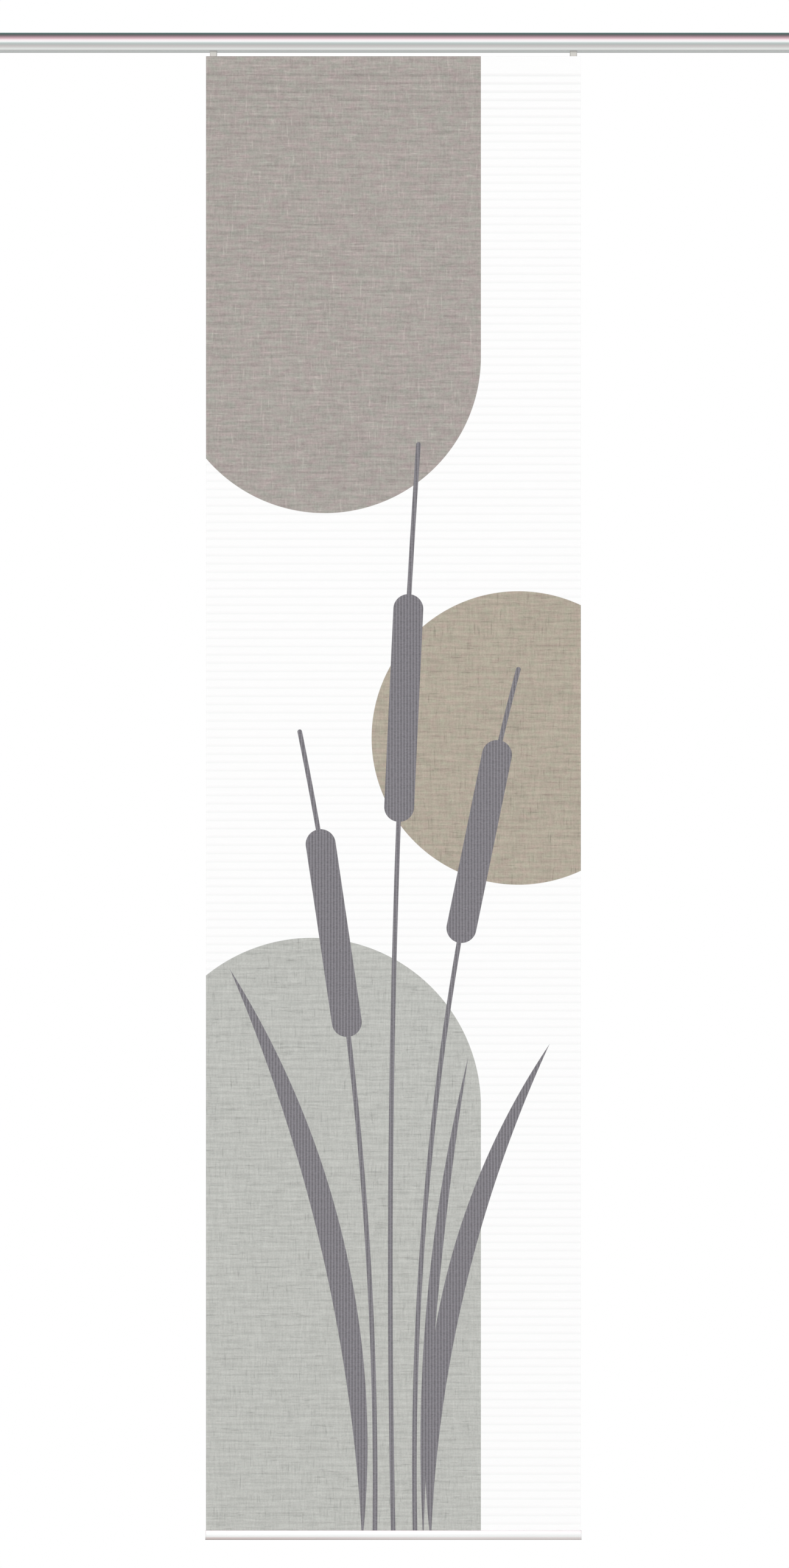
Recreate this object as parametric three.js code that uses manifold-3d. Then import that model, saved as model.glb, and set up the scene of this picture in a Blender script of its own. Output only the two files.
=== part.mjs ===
// A flat sliding panel curtain, hanging from two gliders in a round two-channel rail.
// Millimetres. X runs along the rail, the front looks along -Y, and +Z is up.
// The origin is the top of the rail, midway along it.

import * as THREE from "three";
import { mergeVertices } from "three/addons/utils/BufferGeometryUtils.js";
import Module from "manifold-3d";

const wasm = await Module();
wasm.setup();

const gap = 0.3;

// Rail: a round tube with a web down its middle and a slot under each channel
const railLength = 1400;
const railRadius = 16.25;
const railWall = 1.6;
const railWeb = 2.4;
const railFloor = -25.8;
const slotWidth = 4.5;
const slotY = 7.25;
const railArcStep = THREE.MathUtils.degToRad(5);

// Plugs in the rail's ends
const capThickness = 3;
const capChamfer = 0.8;
const capPegLength = 12;
const capPegHeight = 14;
const capSides = 72;

// Gliders: head in the channel, flat stem through the slot, foot in the carriage
const gliderX = 288.2;
const gliderWidth = 11.5;
const headWidth = 6.9;
const headHeight = 4;
const headCorner = 1;
const stemThickness = 2.4;
const footThickness = 1.9;

// Cloth: a flat sheet with cross ribs on both faces
const clothWidth = 600;
const clothTop = -38.4;
const clothAboveCarriage = 0.6;
const clothThickness = 1;
const ribRise = 0.3;
const ribWidth = 4.4;
const ribCrest = 1.6;
const ribPitch = 13.25;
const ribCount = 176;
const ribFirst = -68.5;

// Carriage: a grooved strip behind the top of the cloth
const carriageLength = 598;
const carriageTop = clothTop - clothAboveCarriage;
const carriageHeight = 27;
const carriageWall = 1.2;
const plateThickness = 1.6;

// Tape between the cloth and the carriage
const tapeHeight = 24;
const tapeDrop = 1;
const tapeThickness = 1.2;

// Weight bar: a convex bar that grips the bottom edge of the cloth
const barTop = -2398.9;
const barHeight = 15.1;
const barDepth = 7.5;
const barLength = 600;
const barBackCorner = 1.2;
const barMouth = 0.8;
const barGripDepth = 7;
const chamberRadius = 1.9;
const chamberRise = 3.9;
const chamberSides = 16;
const barArcStep = THREE.MathUtils.degToRad(10);

// Plugs in the bar's ends
const plugThickness = 1;
const pinLength = 9;

// Places across the depth, from the front slot outwards
const runY = -slotY;
const grooveWidth = 6.2;
const footWidth = grooveWidth - 2 * gap;
const neckWidth = stemThickness + 2 * gap;
const grooveHeight = footThickness + 2 * gap;
const carriageFront = runY - grooveWidth / 2 - carriageWall;
const tapeBack = carriageFront - gap;
const clothBack = tapeBack - tapeThickness - gap;
const clothMid = clothBack - clothThickness / 2;
const clothBottom = barTop - barGripDepth;

const finishes = {
  brightMetal: { color: 0xd9dadb, roughness: 0.22, metalness: 1 },
  satinMetal: { color: 0xd6d7d8, roughness: 0.35, metalness: 1 },
  greyPlastic: { color: 0xbfc0c0, roughness: 0.45, metalness: 0 },
  palePlastic: { color: 0xd8d6d0, roughness: 0.4, metalness: 0 },
  whiteTape: { color: 0xf1f1ef, roughness: 0.95, metalness: 0 },
  whiteCloth: { color: 0xfafaf9, roughness: 0.9, metalness: 0 },
};

const part = new THREE.Group();

function addPiece(name, geometry, finish) {
  const mesh = new THREE.Mesh(geometry, new THREE.MeshStandardMaterial(finishes[finish]));
  mesh.name = name;
  part.add(mesh);
}

// A section drawn as (y, z) points and run along X, centred on x
function runAlongX(shape, length, x = 0) {
  const geometry = new THREE.ExtrudeGeometry(shape, { depth: length, bevelEnabled: false });
  const turn = new THREE.Matrix4().makeBasis(
    new THREE.Vector3(0, 1, 0), new THREE.Vector3(0, 0, 1), new THREE.Vector3(1, 0, 0));
  geometry.applyMatrix4(turn);
  geometry.translate(x - length / 2, 0, 0);
  return geometry;
}

function sectionOf(points) {
  return new THREE.Shape(points.map(([y, z]) => new THREE.Vector2(y, z)));
}

// Points on a circle about (y, z), from one angle to another, ends included
function arcPoints(y, z, radius, from, to, step = railArcStep) {
  const count = Math.max(1, Math.round(Math.abs(to - from) / step));
  return Array.from({ length: count + 1 }, (_, i) => {
    const angle = from + ((to - from) * i) / count;
    return [y + radius * Math.cos(angle), z + radius * Math.sin(angle)];
  });
}

function toSolid(geometry) {
  const bare = geometry.clone();
  bare.deleteAttribute("normal");
  bare.deleteAttribute("uv");
  const merged = mergeVertices(bare, 1e-4);
  return new wasm.Manifold(new wasm.Mesh({
    numProp: 3,
    vertProperties: new Float32Array(merged.attributes.position.array),
    triVerts: new Uint32Array(merged.index.array),
  }));
}

function toGeometry(solid) {
  const mesh = solid.getMesh();
  const geometry = new THREE.BufferGeometry();
  geometry.setAttribute("position", new THREE.BufferAttribute(new Float32Array(mesh.vertProperties), 3));
  geometry.setIndex(new THREE.BufferAttribute(new Uint32Array(mesh.triVerts), 1));
  geometry.computeVertexNormals();
  return geometry;
}

function join(first, ...others) {
  return toGeometry(others.reduce((solid, other) => solid.add(toSolid(other)), toSolid(first)));
}

// The angle below the horizontal at which a circle of the rail reaches y
const angleAt = (y, radius) => -Math.acos(y / radius);

function railSection() {
  const inner = railRadius - railWall;
  const outerEdge = slotY + slotWidth / 2;
  const innerEdge = slotY - slotWidth / 2;
  const outerAngle = angleAt(outerEdge, railRadius);
  const innerAngle = angleAt(innerEdge, railRadius);
  const web = railWeb / 2;
  const floorAngle = -Math.asin((-railRadius - railFloor) / inner);
  const webAngle = Math.acos(web / inner);
  const right = [
    [innerEdge, railFloor],
    [web, railFloor],
    ...arcPoints(0, -railRadius, inner, webAngle, floorAngle),
    [outerEdge, railFloor],
  ];
  const left = right.map(([y, z]) => [-y, z]).reverse();
  return sectionOf([
    ...arcPoints(0, -railRadius, railRadius, outerAngle, Math.PI - outerAngle),
    ...left,
    ...arcPoints(0, -railRadius, railRadius, -Math.PI - innerAngle, innerAngle),
    ...right,
  ]);
}

function endCap(side) {
  const profile = [
    [0, 0], [railRadius, 0], [railRadius, capThickness - capChamfer],
    [railRadius - capChamfer, capThickness], [0, capThickness],
  ].map(([radius, height]) => new THREE.Vector2(radius, height));
  const disc = new THREE.LatheGeometry(profile, capSides);
  disc.rotateZ(-Math.PI / 2);
  disc.translate(railLength / 2 + gap, 0, -railRadius);
  const inner = railRadius - railWall - gap;
  const reach = Math.asin(capPegHeight / 2 / inner);
  const wall = railWeb / 2 + gap;
  const pegs = [1, -1].map((hand) => {
    const bow = arcPoints(0, -railRadius, inner, -reach, reach);
    const outline = [[wall, bow[0][1]], ...bow, [wall, bow.at(-1)[1]]].map(([y, z]) => [hand * y, z]);
    const length = capPegLength + gap + capThickness / 2;
    return runAlongX(sectionOf(outline), length, railLength / 2 - capPegLength + length / 2);
  });
  const geometry = join(disc, ...pegs);
  if (side < 0) geometry.rotateZ(Math.PI);
  return geometry;
}

function gliderSection() {
  const half = stemThickness / 2;
  const head = headWidth / 2;
  const foot = footWidth / 2;
  const headFoot = railFloor + gap;
  const headTop = headFoot + headHeight;
  const footTop = carriageTop - carriageWall - gap;
  const footFoot = footTop - footThickness;
  const right = [
    [foot, footFoot], [foot, footTop], [half, footTop], [half, headFoot],
    [head, headFoot], [head, headTop - headCorner], [head - headCorner, headTop],
  ];
  const left = right.map(([y, z]) => [-y, z]).reverse();
  return sectionOf([...right, ...left].map(([y, z]) => [runY + y, z]));
}

function carriageSection() {
  const front = carriageFront;
  const plateBack = front + plateThickness;
  const plateFoot = carriageTop - carriageHeight;
  const grooveTop = carriageTop - carriageWall;
  const grooveFoot = grooveTop - grooveHeight;
  const boxBack = runY + grooveWidth / 2 + carriageWall;
  const boxFoot = grooveFoot - carriageWall;
  const neck = neckWidth / 2;
  const groove = grooveWidth / 2;
  return sectionOf([
    [front, plateFoot], [plateBack, plateFoot], [plateBack, boxFoot],
    [boxBack, boxFoot], [boxBack, carriageTop],
    [runY + neck, carriageTop], [runY + neck, grooveTop], [runY + groove, grooveTop],
    [runY + groove, grooveFoot], [runY - groove, grooveFoot],
    [runY - groove, grooveTop], [runY - neck, grooveTop], [runY - neck, carriageTop],
    [front, carriageTop],
  ]);
}

function tapeSection() {
  const top = carriageTop - tapeDrop;
  return sectionOf([
    [tapeBack - tapeThickness, top - tapeHeight], [tapeBack, top - tapeHeight],
    [tapeBack, top], [tapeBack - tapeThickness, top],
  ]);
}

// One face of the cloth from top to bottom, with its ribs standing out on that side
function clothFace(side) {
  const flat = clothThickness / 2;
  const points = [[flat, clothTop]];
  for (let rib = 0; rib < ribCount; rib += 1) {
    const middle = ribFirst - rib * ribPitch;
    points.push([flat, middle + ribWidth / 2], [flat + ribRise, middle + ribCrest / 2],
      [flat + ribRise, middle - ribCrest / 2], [flat, middle - ribWidth / 2]);
  }
  points.push([flat, clothBottom]);
  return points.map(([out, z]) => [clothMid + side * out, z]);
}

// The bar's section has a bowed front, and a slot from above that the cloth stands in
function barSection() {
  const bottom = barTop - barHeight;
  const back = clothMid + barDepth / 2;
  const grip = clothThickness / 2 + gap;
  const lip = clothMid - grip - barMouth;
  const bow = arcPoints(0, 0, 1, Math.PI / 2, 1.5 * Math.PI, barArcStep).map(([out, up]) => [
    lip + (barDepth / 2 - grip - barMouth) * out,
    barTop - barHeight / 2 + (barHeight / 2) * up,
  ]);
  return sectionOf([
    ...bow,
    [back - barBackCorner, bottom], [back, bottom + barBackCorner],
    [back, barTop - barBackCorner], [back - barBackCorner, barTop],
    [clothMid + grip, barTop], [clothMid + grip, clothBottom - gap],
    [clothMid - grip, clothBottom - gap], [clothMid - grip, barTop],
  ]);
}

function chamberPoints(radius) {
  const turn = 2 * Math.PI;
  const middle = barTop - barHeight + chamberRise;
  return arcPoints(clothMid, middle, radius, 0, turn, turn / chamberSides).slice(0, -1);
}

function weightBar() {
  const section = barSection();
  section.holes.push(sectionOf(chamberPoints(chamberRadius)));
  return runAlongX(section, barLength);
}

function barPlug(side) {
  const flange = runAlongX(barSection(), plugThickness, side * (barLength / 2 + gap + plugThickness / 2));
  const pinRun = pinLength + gap + plugThickness / 2;
  const pinMiddle = side * (barLength / 2 - pinLength + pinRun / 2);
  return join(flange, runAlongX(sectionOf(chamberPoints(chamberRadius - gap)), pinRun, pinMiddle));
}

addPiece("rail_tube", runAlongX(railSection(), railLength), "brightMetal");

for (const [name, side] of [["left", -1], ["right", 1]]) {
  addPiece(`end_cap_${name}`, endCap(side), "greyPlastic");
  addPiece(`glider_${name}`, runAlongX(gliderSection(), gliderWidth, side * gliderX), "palePlastic");
}

addPiece("carriage", runAlongX(carriageSection(), carriageLength), "satinMetal");
addPiece("heading_tape", runAlongX(tapeSection(), carriageLength), "whiteTape");

const clothSection = sectionOf([...clothFace(-1), ...clothFace(1).reverse()]);
addPiece("cloth_panel", runAlongX(clothSection, clothWidth), "whiteCloth");
addPiece("weight_bar", weightBar(), "satinMetal");

for (const [name, side] of [["left", -1], ["right", 1]]) {
  addPiece(`bar_plug_${name}`, barPlug(side), "greyPlastic");
}

export default part;
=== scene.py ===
from math import cos, pi, radians, sin

import bmesh
import bpy
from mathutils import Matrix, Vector


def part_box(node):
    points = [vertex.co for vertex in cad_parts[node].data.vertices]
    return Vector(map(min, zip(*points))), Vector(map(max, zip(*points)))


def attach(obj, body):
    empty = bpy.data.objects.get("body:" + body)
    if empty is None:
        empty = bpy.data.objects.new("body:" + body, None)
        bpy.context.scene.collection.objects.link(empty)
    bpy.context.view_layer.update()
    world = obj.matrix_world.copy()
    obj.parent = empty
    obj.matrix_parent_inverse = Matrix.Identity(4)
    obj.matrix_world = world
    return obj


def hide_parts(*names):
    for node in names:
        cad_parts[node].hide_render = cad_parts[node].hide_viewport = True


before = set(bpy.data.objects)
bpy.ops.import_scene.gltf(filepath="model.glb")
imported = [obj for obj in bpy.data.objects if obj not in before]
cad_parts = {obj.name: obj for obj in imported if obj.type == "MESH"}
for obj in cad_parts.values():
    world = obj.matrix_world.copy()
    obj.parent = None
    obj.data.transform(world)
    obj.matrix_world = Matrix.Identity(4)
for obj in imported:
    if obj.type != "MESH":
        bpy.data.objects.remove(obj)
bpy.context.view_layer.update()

bl_info = {
    "name": "Sliding Panel Curtain",
    "version": (1, 0, 0),
    "blender": (4, 5, 0),
    "location": "View3D > Sidebar > Curtain",
    "description": "Adds a flat printed panel curtain with its rail, gliders and weight bar",
    "category": "Add Mesh",
}

MM = 0.001
BODY = "root"
PHOTO_HEIGHT = 2576
CAMERA_SENSOR = 36.0
WHITE = (1.0, 1.0, 1.0)

# How far a cutter reaches past what it cuts, how near counts as touching, and which points are merged
OVER = 1 * MM
NEAR = 0.01 * MM
DOUBLES = 0.001 * MM


# The frame's nodes give the sizes and places that the pieces share

def low(node):
    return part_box(node)[0]


def high(node):
    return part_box(node)[1]


def middle(node):
    return (low(node) + high(node)) / 2


def size(node):
    return high(node) - low(node)


def around(centre, width):
    """The limits of a width about its centre."""
    return centre - width / 2, centre + width / 2


# The settings; the panel takes their labels from their names

def number_prop(description, default, **more):
    return bpy.props.FloatProperty(description=description, default=default, min=0.0, **more)


def length_prop(description, millimetres):
    return number_prop(description, millimetres * MM, precision=5, subtype="DISTANCE", unit="LENGTH")


def angle_prop(description, degrees):
    return number_prop(description, radians(degrees), subtype="ANGLE", unit="ROTATION")


def count_prop(description, default):
    return bpy.props.IntProperty(description=description, default=default, min=1)


def colour_prop(description, default):
    return bpy.props.FloatVectorProperty(description=description, default=default, size=3, min=0.0, max=1.0,
                                         subtype="COLOR")


class RailSettings(bpy.types.PropertyGroup):
    wall: length_prop("Thickness of the tube's wall", 1.6)
    web: length_prop("Thickness of the web between the two channels", 2.4)
    floor_height: length_prop("Height of the channels' floors over the rail's foot", 6.7)
    slot_width: length_prop("Width of each slot", 4.5)
    slot_offset: length_prop("From the rail's middle to each slot's middle", 7.25)
    edge: length_prop("Rounding of the slots' and ends' edges", 0.25)
    sides: count_prop("Facets round the tube", 192)
    colour: colour_prop("Bright metal of the rail", (0.86, 0.86, 0.865))
    # The slots' colour is painted shade
    slot_shade_colour: colour_prop("Duller metal in the slots", (0.73, 0.67, 0.67))


class FittingSettings(bpy.types.PropertyGroup):
    cap_thickness: length_prop("Thickness of an end cap's disc", 3)
    cap_edge: length_prop("Rounding of an end cap's rim", 0.8)
    cap_rim: length_prop("Width of the flat rim round an end cap's dish", 2.2)
    cap_slope: length_prop("Width of the dish's sloping side", 0.8)
    cap_recess: length_prop("Depth of the dish in an end cap's face", 0.4)
    peg_height: length_prop("Height of an end cap's pegs", 14)
    clearance: length_prop("Gap that fitted pieces keep", 0.3)
    stem: length_prop("Thickness of a glider's stem", 2.4)
    head_height: length_prop("Height of a glider's head", 4)
    foot_width: length_prop("Width of a glider's foot", 5.6)
    foot_height: length_prop("Height of a glider's foot", 1.9)
    glider_edge: length_prop("Rounding of a glider's edges", 0.7)
    strip_wall: length_prop("Wall of the groove along the carriage", 1.2)
    strip_plate: length_prop("Thickness of the carriage's plate", 1.6)
    strip_edge: length_prop("Rounding of the carriage's edges", 0.2)
    groove_width: length_prop("Inner width of the carriage's groove", 6.2)
    groove_height: length_prop("Inner height of the carriage's groove", 2.5)
    neck_width: length_prop("Width of the groove's mouth", 3)
    tape_edge: length_prop("Width of the tape's woven edges", 1.5)
    tape_step: length_prop("Width of the slope between an edge and the loops", 0.2)
    tape_dip: length_prop("Depth of the loops' face below the woven edges", 0.15)
    tape_round: length_prop("Rounding of the tape's edges", 0.05)
    cap_colour: colour_prop("Grey plastic of the end caps", (0.52, 0.52, 0.53))
    glider_colour: colour_prop("Pale plastic of the gliders", (0.64, 0.62, 0.58))
    strip_colour: colour_prop("Satin metal of the carriage", (0.72, 0.72, 0.73))
    tape_colour: colour_prop("White loops of the heading tape", (0.8, 0.8, 0.79))


class ClothSettings(bpy.types.PropertyGroup):
    thickness: length_prop("Thickness of the cloth between its ribs", 1)
    rib_rise: length_prop("Height of a rib over each face", 0.3)
    rib_width: length_prop("Width of a rib at its foot", 4.4)
    rib_pitch: length_prop("Distance from one rib to the next", 13.25)
    heading: length_prop("From the cloth's top to the middle of the first rib", 30.1)
    ribs: count_prop("Number of cross ribs", 176)
    rows: count_prop("Rows of faces across one rib", 8)
    columns: count_prop("Columns of faces across the panel", 10)
    selvedge: length_prop("Width of the sealed side edges", 1.0)


class PrintSettings(bpy.types.PropertyGroup):
    ground: colour_prop("Unprinted cloth", (0.902, 0.902, 0.9))
    taupe: colour_prop("The hanging arch", (0.376, 0.343, 0.318))
    beige: colour_prop("The disc", (0.403, 0.357, 0.289))
    sage: colour_prop("The standing arch", (0.465, 0.471, 0.444))
    reed: colour_prop("The rushes", (0.195, 0.187, 0.204))
    reed_rib: length_prop("Pitch of the fine upright lines in the rushes", 4.9)
    show_through: number_prop("How much of the print shows on the back", 0.3, max=1.0, subtype="FACTOR")


class BarSettings(bpy.types.PropertyGroup):
    mouth: length_prop("Flat of the bar's front lip beside the cloth", 0.8)
    back_edge: length_prop("Cut of the bar's back edges", 1.2)
    grip_depth: length_prop("Depth of the slot that holds the cloth", 7.3)
    chamber_radius: length_prop("Radius of the hole that takes a plug's pin", 1.9)
    chamber_rise: length_prop("Height of that hole over the bar's foot", 3.9)
    pin_radius: length_prop("Radius of a plug's pin", 1.6)
    plug_thickness: length_prop("Thickness of a plug's flange", 1.25)
    edge: length_prop("Rounding of the bar's small edges", 0.15)
    sides: count_prop("Facets round the bar's bowed front", 96)
    pin_sides: count_prop("Facets round a pin and its hole", 32)
    colour: colour_prop("Satin metal of the bar", (0.96, 0.95, 0.95))
    # The colour of the bar's lower part is painted shade
    shaded_colour: colour_prop("The bar's duller lower part", (0.66, 0.565, 0.555))
    plug_colour: colour_prop("Pale plastic of the bar's plugs", (0.82, 0.8, 0.8))


class StageSettings(bpy.types.PropertyGroup):
    pixels_per_metre: number_prop("Scale of the photograph", 1026.0)
    view_right: length_prop("How far the view's middle lies right of the panel's", 1.7)
    rail_top_row: number_prop("Row of the photograph where the rail's top lies", 53.0)
    lens: number_prop("Long lens, for the flat view of the photograph", 400.0,
                      subtype="DISTANCE_CAMERA", unit="CAMERA")
    floor_drop: length_prop("Distance from the weight bar down to the floor", 120)
    floor_radius: length_prop("Radius of the round floor, which stays below the view", 1600)
    floor_colour: colour_prop("Pale floor", (0.88, 0.925, 0.907))
    front_power: number_prop("Strength of the soft front light", 1.3)
    front_colour: colour_prop("Tint of the soft front light", (0.9, 1.0, 0.999))
    back_power: number_prop("Strength of the soft back light", 2.1)
    back_colour: colour_prop("Tint of the soft back light", (1.0, 0.95, 0.958))
    lamp_height: angle_prop("Angle of the lights over the horizon", 25.0)
    lamp_side: angle_prop("Angle of the lights to the side", 15.0)
    lamp_spread: angle_prop("Angular size of the lights", 50.0)


GROUPS = {
    "curtain_rail": RailSettings,
    "curtain_fittings": FittingSettings,
    "curtain_cloth": ClothSettings,
    "curtain_print": PrintSettings,
    "curtain_bar": BarSettings,
    "curtain_stage": StageSettings,
}


# Shader maths: a Wire is a socket, and its operators are Math nodes

class Wire:
    def __init__(self, nodes, socket):
        self.nodes = nodes
        self.socket = socket

    def __add__(self, other):
        return self.nodes.math("ADD", self, other)

    def __sub__(self, other):
        return self.nodes.math("SUBTRACT", self, other)

    def __rsub__(self, other):
        return self.nodes.math("SUBTRACT", other, self)

    def __mul__(self, other):
        return self.nodes.math("MULTIPLY", self, other)

    def __neg__(self):
        return self * -1.0

    def __abs__(self):
        return self.nodes.math("ABSOLUTE", self)

    def __or__(self, other):
        """The larger of two values: it joins two masks, and gives the overlap of two distances."""
        return self.nodes.math("MAXIMUM", self, other)

    def __and__(self, other):
        """The smaller of two values: it gives the overlap of two masks, and joins two distances."""
        return self.nodes.math("MINIMUM", self, other)

    __radd__ = __add__
    __rmul__ = __mul__


class Nodes:
    """The nodes of a material or a world."""

    def __init__(self, owner):
        owner.use_nodes = True
        self.tree = owner.node_tree
        self.tree.nodes.clear()

    def node(self, kind, inputs=None, settings=None, out=0):
        """Adds a node, with its settings or its ramp's stops made first.

        out names the output to give back: all three for XYZ, and none for None.
        """
        node = self.tree.nodes.new(kind)
        for name, value in (settings or {}).items():
            if name == "stops":
                self.set_stops(node.color_ramp.elements, value)
            else:
                setattr(node, name, value)
        for name, value in (inputs or {}).items():
            socket = node.inputs[name]
            if isinstance(value, Wire):
                self.tree.links.new(value.socket, socket)
            elif hasattr(value, "__len__") and len(value) == 3 and len(socket.default_value) == 4:
                socket.default_value = (*value, 1.0)
            else:
                socket.default_value = value
        if out == "XYZ":
            return [Wire(self, node.outputs[axis]) for axis in out]
        return None if out is None else Wire(self, node.outputs[out])

    def set_stops(self, points, stops):
        while len(points) < len(stops):
            points.new(0.5)
        for point, (at, colour) in zip(points, stops):
            point.position = at
            point.color = (*colour, 1.0)

    def math(self, operation, *values):
        return self.node("ShaderNodeMath", dict(enumerate(values)), {"operation": operation})

    def mix(self, share, first, second, blend="MIX"):
        """Colours first and second, blended by share."""
        return self.node("ShaderNodeMix", {"Factor": share, 6: first, 7: second},
                         {"data_type": "RGBA", "blend_type": blend}, out=2)


class Paint(Nodes):
    """The nodes of one material, and the place that they paint."""

    def __init__(self, name):
        self.material = bpy.data.materials.new(name)
        super().__init__(self.material)
        self.place = self.node("ShaderNodeTexCoord", out="Object")
        self.x, self.y, self.z = self.node("ShaderNodeSeparateXYZ", {"Vector": self.place}, out="XYZ")

    def smooth(self, value, start, end):
        """0 before start and 1 after end, with a soft rise between."""
        return self.node("ShaderNodeMapRange", {"Value": value, "From Min": start, "From Max": end},
                         {"interpolation_type": "SMOOTHSTEP", "clamp": True})

    def noise(self, x, y, z, detail=2.0):
        at = self.node("ShaderNodeCombineXYZ", {"X": x, "Y": y, "Z": z})
        return self.node("ShaderNodeTexNoise", {"Vector": at, "Scale": 1.0, "Detail": detail})

    def grain(self, fineness, detail=2.0):
        """Noise round zero that is as fine along every axis."""
        return self.noise(self.x * fineness, self.y * fineness, self.z * fineness, detail) - 0.5

    def weave(self, across, up, seed, detail=2.0):
        """Noise round zero in the cloth's plane; across and up are its fineness along X and Z."""
        return self.noise(self.x * across, self.z * up, seed, detail) - 0.5

    def shade(self, colour, by):
        """A colour times a value."""
        return self.tinted(colour, by, by, by)

    def tinted(self, colour, red, green, blue):
        """A colour times a value for each of its parts."""
        tint = self.node("ShaderNodeCombineColor", {"Red": red, "Green": green, "Blue": blue})
        return self.mix(1.0, colour, tint, blend="MULTIPLY")

    def bump(self, height, depth):
        """A normal from a height of 0 to 1 that stands depth metres high."""
        return self.node("ShaderNodeBump", {"Height": height, "Distance": depth, "Strength": 1.0})

    def finish(self, **inputs):
        """The surface itself; the names are those of the Principled sockets, with _ for a space."""
        named = {name.replace("_", " "): value for name, value in inputs.items()}
        shader = self.node("ShaderNodeBsdfPrincipled", named)
        self.node("ShaderNodeOutputMaterial", {"Surface": shader}, out=None)
        return self.material


# Distances in the plane of the cloth: below zero inside a shape

def span(paint, x, z):
    return paint.math("SQRT", x * x + z * z)


def disc(paint, centre, radius):
    return span(paint, paint.x - centre[0], paint.z - centre[1]) - radius


def arch(paint, centre, half_width, spring, upwards):
    """A band with a round end: it stands up to the end if upwards, and hangs down to it otherwise."""
    past = (paint.z - spring) * (1.0 if upwards else -1.0)
    return span(paint, paint.x - centre, past | 0.0) - half_width


def stroke(paint, start, end, radius):
    """A line with round ends."""
    along = (end[0] - start[0], end[1] - start[1])
    square = along[0] ** 2 + along[1] ** 2
    x = paint.x - start[0]
    z = paint.z - start[1]
    share = ((x * (along[0] / square) + z * (along[1] / square)) | 0.0) & 1.0
    return span(paint, x - share * along[0], z - share * along[1]) - radius


class Stalk:
    """A bowed upright line from foot to tip, leaning as an arc of one circle."""

    def __init__(self, foot, tip, bow):
        self.foot, self.tip = foot, tip
        chord = Vector((tip[0] - foot[0], tip[1] - foot[1]))
        side = Vector((-chord[1], chord[0])).normalized()
        self.hand = 1.0 if bow > 0 else -1.0
        self.radius = (chord.length ** 2 / 4 + bow ** 2) / (2 * abs(bow))
        away = self.radius - abs(bow)
        self.centre = Vector(foot) + chord / 2 - side * away * self.hand
        self.start = Vector(foot) - self.centre
        self.turn = self.start.angle_signed(Vector(tip) - self.centre)

    def at(self, share):
        angle = -self.turn * share
        turned = Vector((self.start[0] * cos(angle) - self.start[1] * sin(angle),
                         self.start[0] * sin(angle) + self.start[1] * cos(angle)))
        return self.centre + turned

    def side(self, paint):
        """The distance from the bow, below zero on its right."""
        return (span(paint, paint.x - self.centre[0], paint.z - self.centre[1]) - self.radius) * self.hand

    def ends(self, paint):
        """Below zero between the heights of the foot and the tip."""
        return (self.foot[1] - paint.z) | (paint.z - self.tip[1])

    def line(self, paint, half_width):
        return (abs(self.side(paint)) - half_width) | self.ends(paint)


def inside(paint, distance, soft=0.4 * MM):
    """1 inside a shape and 0 outside it, with a soft edge."""
    return 1.0 - paint.smooth(distance, -soft, soft)


# The print: plain arches, a disc and rushes, as foot, tip, bow, and the shares between which a head sits

HANGING_ARCH = {"centre": -0.11, "half_width": 0.25, "spring": -0.52, "upwards": False}
STANDING_ARCH = {"centre": -0.13, "half_width": 0.27, "spring": -1.72, "upwards": True}
DISC = {"centre": (0.20, -1.13), "radius": 0.235}
RUSHES = [
    {"foot": (0.000, -2.42), "tip": (0.040, -0.66), "bow": 0.020, "head": (0.67, 0.85)},
    {"foot": (0.035, -2.42), "tip": (0.200, -1.02), "bow": 0.050, "head": (0.70, 0.90)},
    {"foot": (-0.030, -2.42), "tip": (-0.150, -1.12), "bow": -0.035, "head": (0.64, 0.86)},
]
BLADES = [
    {"foot": (0.060, -2.42), "tip": (0.250, -1.62), "bow": 0.075, "width": 0.034},
    {"foot": (-0.050, -2.42), "tip": (-0.262, -1.50), "bow": -0.080, "width": 0.038},
    {"foot": (0.048, -2.42), "tip": (0.120, -1.64), "bow": 0.030, "width": 0.017},
]
STEM_WIDTH = 7.5 * MM
HEAD_WIDTH = 48 * MM

# The linen of the three zones: its seed, the strength of its slubs, below zero for dark ones, the strength
# of its threads, the share of the upright ones, and how far it is mottled warm and cool
TAUPE_LINEN = {"seed": 1.7, "slub": 0.225, "threads": 0.93, "upright": 1.17, "mottle": 0.16}
BEIGE_LINEN = {"seed": 23.4, "slub": -0.18, "threads": 0.79, "upright": 1.55, "mottle": 0.15}
SAGE_LINEN = {"seed": 41.2, "slub": -0.16, "threads": 0.67, "upright": 1.5, "mottle": 0.005}


def rushes(paint):
    shapes = []
    for rush in RUSHES:
        stalk = Stalk(rush["foot"], rush["tip"], rush["bow"])
        shapes.append(stalk.line(paint, STEM_WIDTH / 2))
        shapes.append(disc(paint, rush["tip"], STEM_WIDTH / 2))
        start, end = (stalk.at(share) for share in rush["head"])
        shapes.append(stroke(paint, start, end, HEAD_WIDTH / 2))
    for blade in BLADES:
        outer = Stalk(blade["foot"], blade["tip"], blade["bow"])
        inner = Stalk(blade["foot"], blade["tip"], blade["bow"] - blade["width"] * outer.hand)
        between = outer.side(paint) * outer.hand | inner.side(paint) * -outer.hand
        shapes.append(between | outer.ends(paint))
    union = shapes[0]
    for shape in shapes[1:]:
        union = union & shape
    return inside(paint, union)


# Materials

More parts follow.
